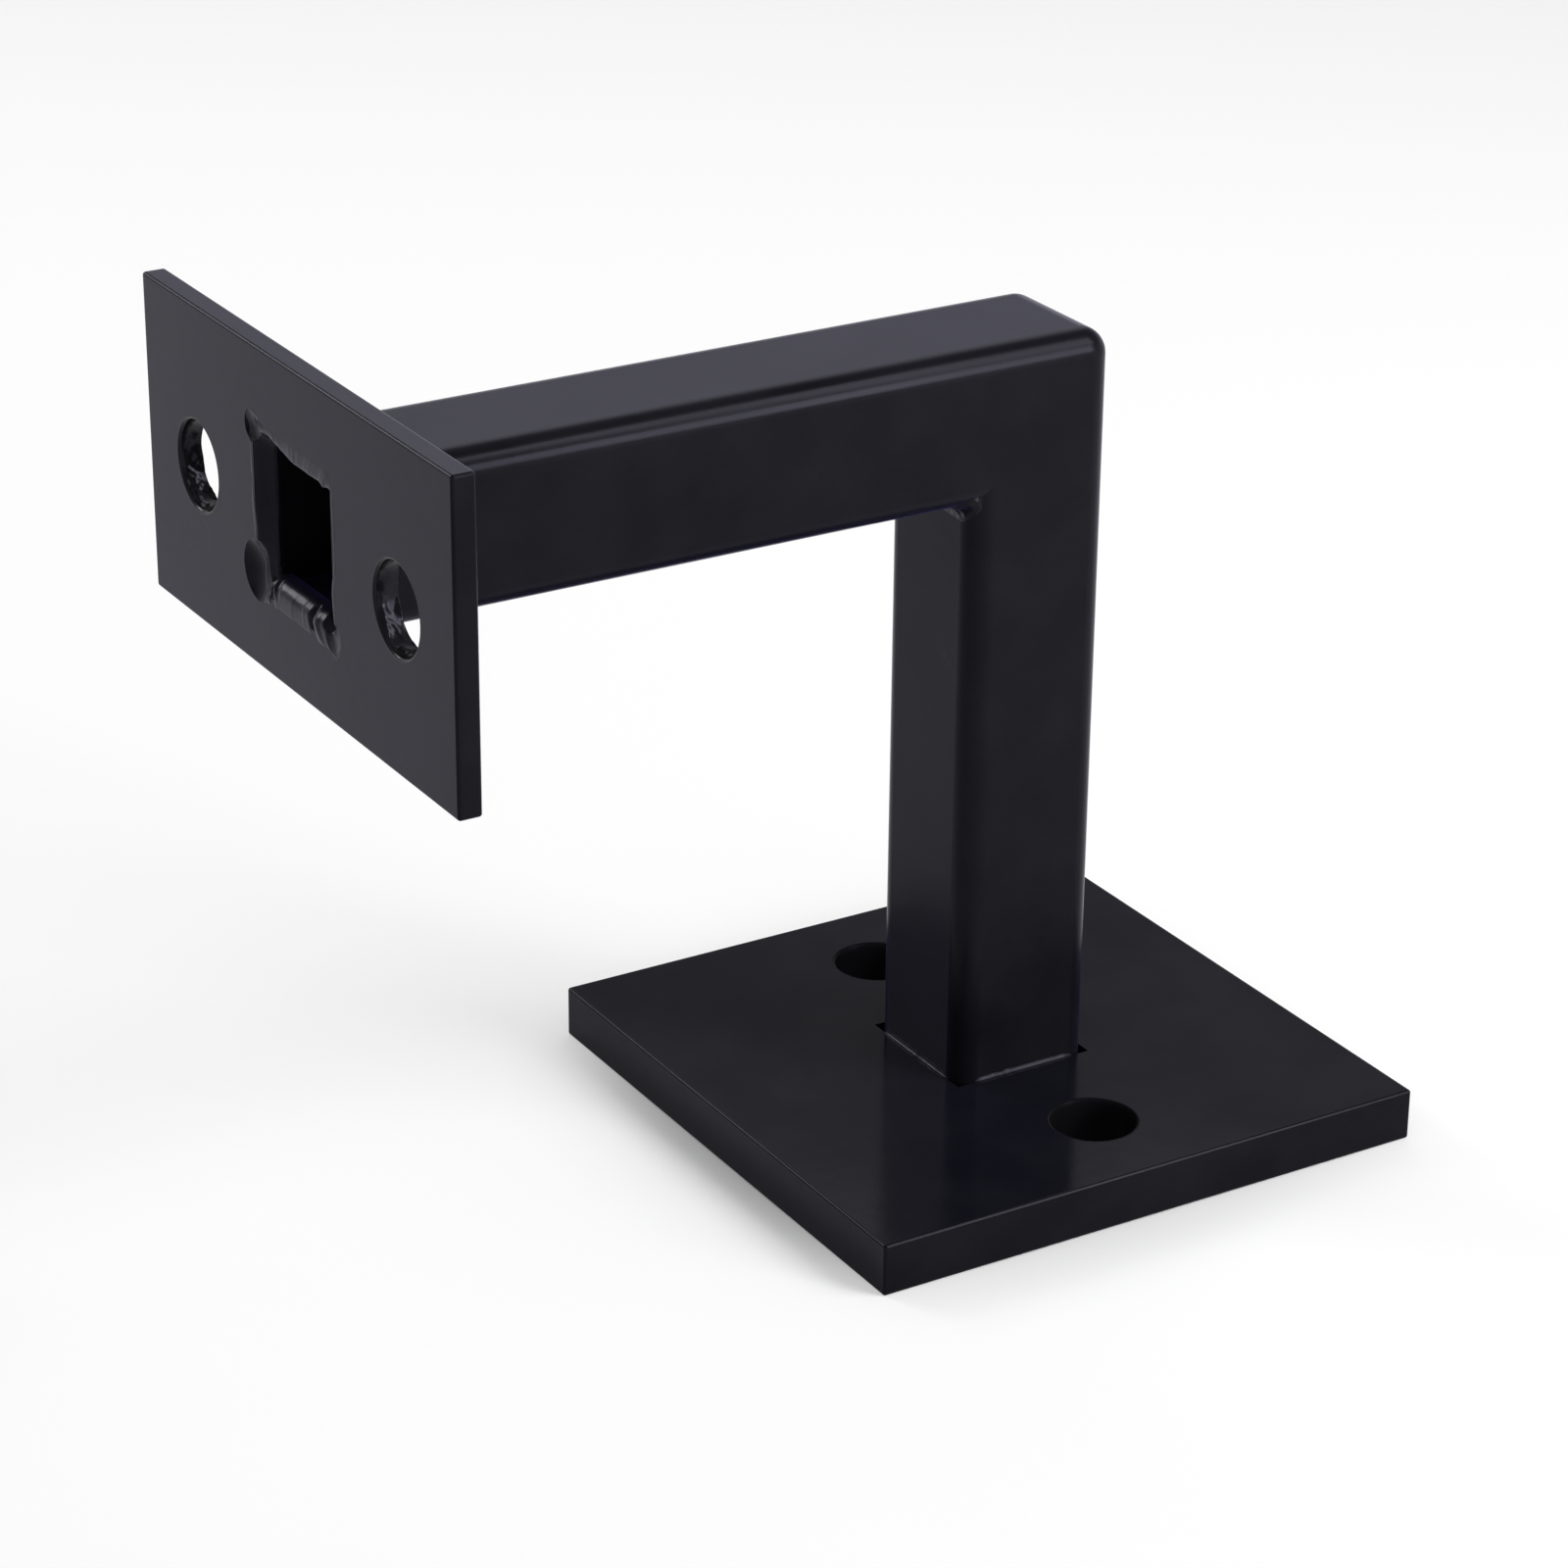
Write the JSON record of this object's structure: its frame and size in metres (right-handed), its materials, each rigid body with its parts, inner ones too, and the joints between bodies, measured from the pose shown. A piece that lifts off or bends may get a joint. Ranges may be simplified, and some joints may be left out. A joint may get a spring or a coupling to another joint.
{
  "type": "handrail bracket",
  "caption": "Welded steel handrail bracket: a square tube folded to a right angle joins a square base plate for bolting down to an oblong plate that carries the rail.",
  "frame": {"origin": "centre of the base plate's underside, midway between its two bolt holes", "axes": "-Z out of the base plate's underside, so the post rises along +Z; -X out of the rail plate's outer face, so the arm runs along -X from the fold; the bolt holes of both plates are in line along Y"},
  "size_m": [0.136, 0.08, 0.116],
  "materials": {
    "black_powder_coat": "semi-gloss black powder coat on steel",
    "coated_weld": "semi-gloss black powder coat over an unground weld bead"
  },
  "bodies": {
    "root": {"base_plate": "black_powder_coat", "arm_tube": "black_powder_coat", "rail_plate": "black_powder_coat", "base_plate_weld": "coated_weld", "rail_plate_weld": "coated_weld", "fold_weld": "coated_weld"}
  },
  "joints": []
}
